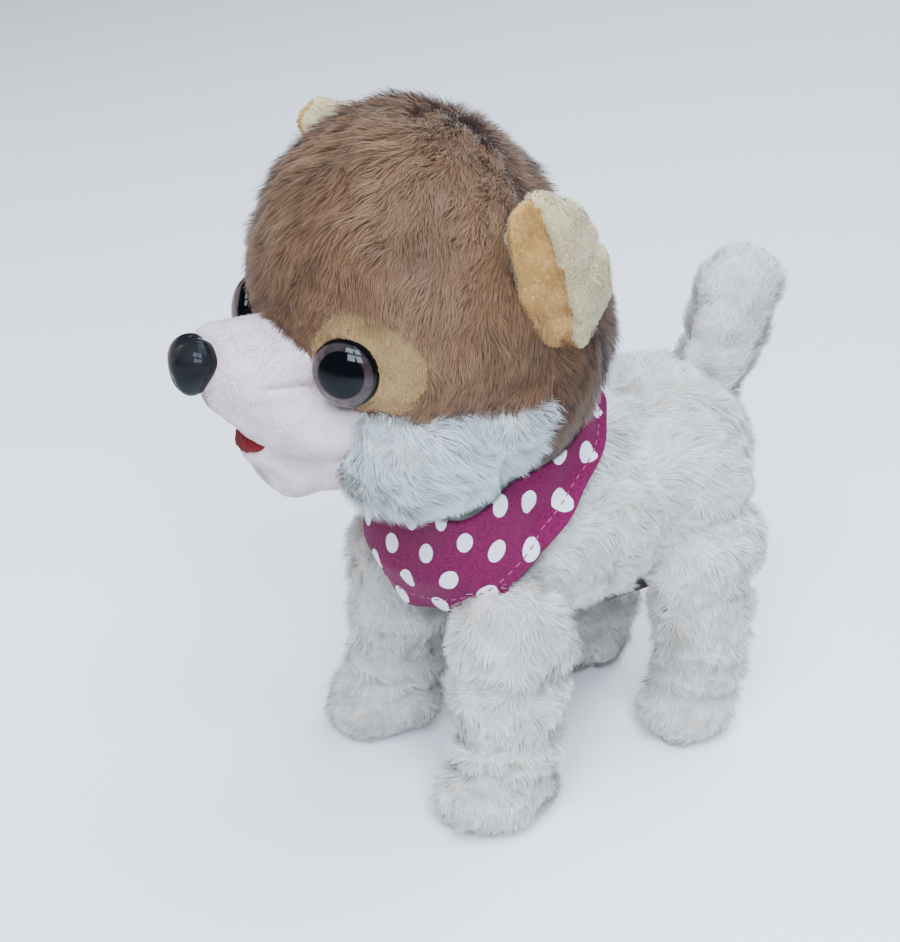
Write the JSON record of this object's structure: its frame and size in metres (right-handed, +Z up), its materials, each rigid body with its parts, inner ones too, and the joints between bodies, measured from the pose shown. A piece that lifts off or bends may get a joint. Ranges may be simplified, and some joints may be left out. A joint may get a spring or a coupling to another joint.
{
  "type": "interactive plush puppy",
  "caption": "Standing plush puppy toy with a bandana: a geared motor swings the legs and tail, and a battery tray with a screwed lid and a switch sit in the belly.",
  "frame": {"origin": "on the ground, under the middle of the toy", "axes": "+Z up, +X towards the puppy's own left side, -Y the way it faces"},
  "size_m": [0.1174, 0.2076, 0.2209],
  "materials": {
    "cream_plush": "long creamy-white plush pile",
    "brown_plush": "long brown plush pile",
    "white_plush": "white plush pile",
    "tan_plush": "short tan pile",
    "pink_velour": "short pale pink velour",
    "pink_fleece": "pink fleece printed with white dots",
    "red_felt": "dark red felt",
    "wadding": "loose white fibre filling",
    "gloss_black": "polished",
    "grey_plastic": "moulded, fine texture",
    "brown_plastic": "moulded, fine texture",
    "white_nylon": "moulded, slightly waxy",
    "steel": "bright plated",
    "brass": "bright",
    "cell_sleeve": null,
    "circuit_green": "green lacquer",
    "black_plastic": "moulded",
    "red_wire": "red insulation",
    "black_wire": "black insulation"
  },
  "bodies": {
    "body": {"body_plush": "cream_plush", "bandana": "pink_fleece", "chassis_left": "grey_plastic", "chassis_right": "grey_plastic", "chassis_screw_1": "steel", "chassis_screw_2": "steel", "shoulder_axle": "steel", "hip_axle": "steel", "neck_pin": "steel", "battery_tray": "brown_plastic", "battery_left": "cell_sleeve", "battery_right": "cell_sleeve", "battery_left_spring": "steel", "battery_right_spring": "steel", "contact_bridge": "brass", "motor": "steel", "first_axle": "steel", "second_axle": "steel", "circuit_board": "circuit_green", "microphone": "steel", "speaker_frame": "steel", "speaker_cone": "black_plastic", "switch_body": "black_plastic", "battery_wire_red": "red_wire", "battery_wire_black": "black_wire", "speaker_wire": "red_wire"},
    "head": {"crown_left": "brown_plush", "crown_right": "brown_plush", "back_of_head": "brown_plush", "cheek_panel": "white_plush", "muzzle": "pink_velour", "eye_patch_left": "tan_plush", "eye_patch_right": "tan_plush", "eye_left": "gloss_black", "eye_right": "gloss_black", "nose": "gloss_black", "mouth_lining": "red_felt", "ear_left": "tan_plush", "ear_right": "tan_plush", "head_stuffing": "wadding", "neck_lever": "white_nylon"},
    "leg_front_left": {"leg_front_left_plush": "cream_plush", "leg_front_left_lever": "white_nylon"},
    "leg_front_right": {"leg_front_right_plush": "cream_plush", "leg_front_right_lever": "white_nylon"},
    "leg_rear_left": {"leg_rear_left_plush": "cream_plush", "leg_rear_left_lever": "white_nylon"},
    "leg_rear_right": {"leg_rear_right_plush": "cream_plush", "leg_rear_right_lever": "white_nylon"},
    "link_left": {"walk_link_left": "white_nylon"},
    "link_right": {"walk_link_right": "white_nylon"},
    "tail": {"tail_plush": "cream_plush", "tail_lever": "white_nylon"},
    "crank": {"crank_axle": "white_nylon"},
    "second_gear": {"second_gear": "white_nylon"},
    "first_gear": {"first_gear": "white_nylon"},
    "motor_rotor": {"motor_pinion": "brass"},
    "switch": {"switch_knob": "black_plastic"},
    "battery_door": {"battery_lid": "brown_plastic"},
    "door_screw": {"lid_screw": "steel"}
  },
  "joints": [
    {"name": "head_nod", "type": "hinge", "parent": "body", "child": "head", "pos_m": [0, -0.0189, 0.112], "axis": [1, 0, 0], "range_deg": [-7, 7]},
    {"name": "leg_front_left_swing", "type": "hinge", "parent": "body", "child": "leg_front_left", "pos_m": [0.03, -0.0169, 0.076], "axis": [1, 0, 0], "range_deg": [-11.9, 7.3]},
    {"name": "leg_front_right_swing", "type": "hinge", "parent": "body", "child": "leg_front_right", "pos_m": [-0.03, -0.0169, 0.076], "axis": [1, 0, 0], "range_deg": [-7.3, 11.9]},
    {"name": "leg_rear_left_swing", "type": "hinge", "parent": "body", "child": "leg_rear_left", "pos_m": [0.03, 0.0591, 0.076], "axis": [1, 0, 0], "range_deg": [-11.9, 7.3]},
    {"name": "leg_rear_right_swing", "type": "hinge", "parent": "body", "child": "leg_rear_right", "pos_m": [-0.03, 0.0591, 0.076], "axis": [1, 0, 0], "range_deg": [-7.3, 11.9]},
    {"name": "walk_link_left_turn", "type": "hinge", "parent": "leg_front_left", "child": "link_left", "pos_m": [0.0203, -0.01762, 0.09398], "axis": [1, 0, 0], "range_deg": [-7.3, 11.9]},
    {"name": "walk_link_right_turn", "type": "hinge", "parent": "leg_front_right", "child": "link_right", "pos_m": [-0.0203, -0.01618, 0.09398], "axis": [1, 0, 0], "range_deg": [-11.9, 7.3]},
    {"name": "tail_wag", "type": "hinge", "parent": "body", "child": "tail", "pos_m": [0, 0.0771, 0.11], "axis": [0, 1, 0], "range_deg": [-20, 20]},
    {"name": "crank_turn", "type": "hinge", "parent": "body", "child": "crank", "pos_m": [0, 0.0251, 0.09], "axis": [1, 0, 0], "continuous": true},
    {"name": "second_gear_turn", "type": "hinge", "parent": "body", "child": "second_gear", "pos_m": [0, 0.01056, 0.09], "axis": [1, 0, 0], "continuous": true},
    {"name": "first_gear_turn", "type": "hinge", "parent": "body", "child": "first_gear", "pos_m": [0, -0.00144, 0.08515], "axis": [1, 0, 0], "continuous": true},
    {"name": "motor_turn", "type": "hinge", "parent": "body", "child": "motor_rotor", "pos_m": [0, -0.01241, 0.09201], "axis": [1, 0, 0], "continuous": true},
    {"name": "switch_slide", "type": "slide", "parent": "body", "child": "switch", "axis": [1, 0, 0], "range_m": [0, 0.003]},
    {"name": "battery_lid_open", "type": "hinge", "parent": "body", "child": "battery_door", "pos_m": [0, -0.0112, 0.0537], "axis": [-1, 0, 0], "range_deg": [0, 50]},
    {"name": "lid_screw_turn", "type": "hinge", "parent": "battery_door", "child": "door_screw", "pos_m": [0, 0.0503, 0.05], "axis": [0, 0, 1], "continuous": true}
  ],
  "couplings": [
    {"joint": "leg_front_right_swing", "follows": "leg_front_left_swing", "ratio": -1},
    {"joint": "leg_rear_left_swing", "follows": "leg_front_left_swing", "ratio": 1},
    {"joint": "leg_rear_right_swing", "follows": "leg_front_left_swing", "ratio": -1},
    {"joint": "walk_link_left_turn", "follows": "leg_front_left_swing", "ratio": -1},
    {"joint": "walk_link_right_turn", "follows": "leg_front_left_swing", "ratio": 1},
    {"joint": "tail_wag", "follows": "leg_front_left_swing", "ratio": 1.6},
    {"joint": "first_gear_turn", "follows": "motor_turn", "ratio": -0.33333},
    {"joint": "second_gear_turn", "follows": "motor_turn", "ratio": 0.11111},
    {"joint": "crank_turn", "follows": "motor_turn", "ratio": -0.031746}
  ]
}
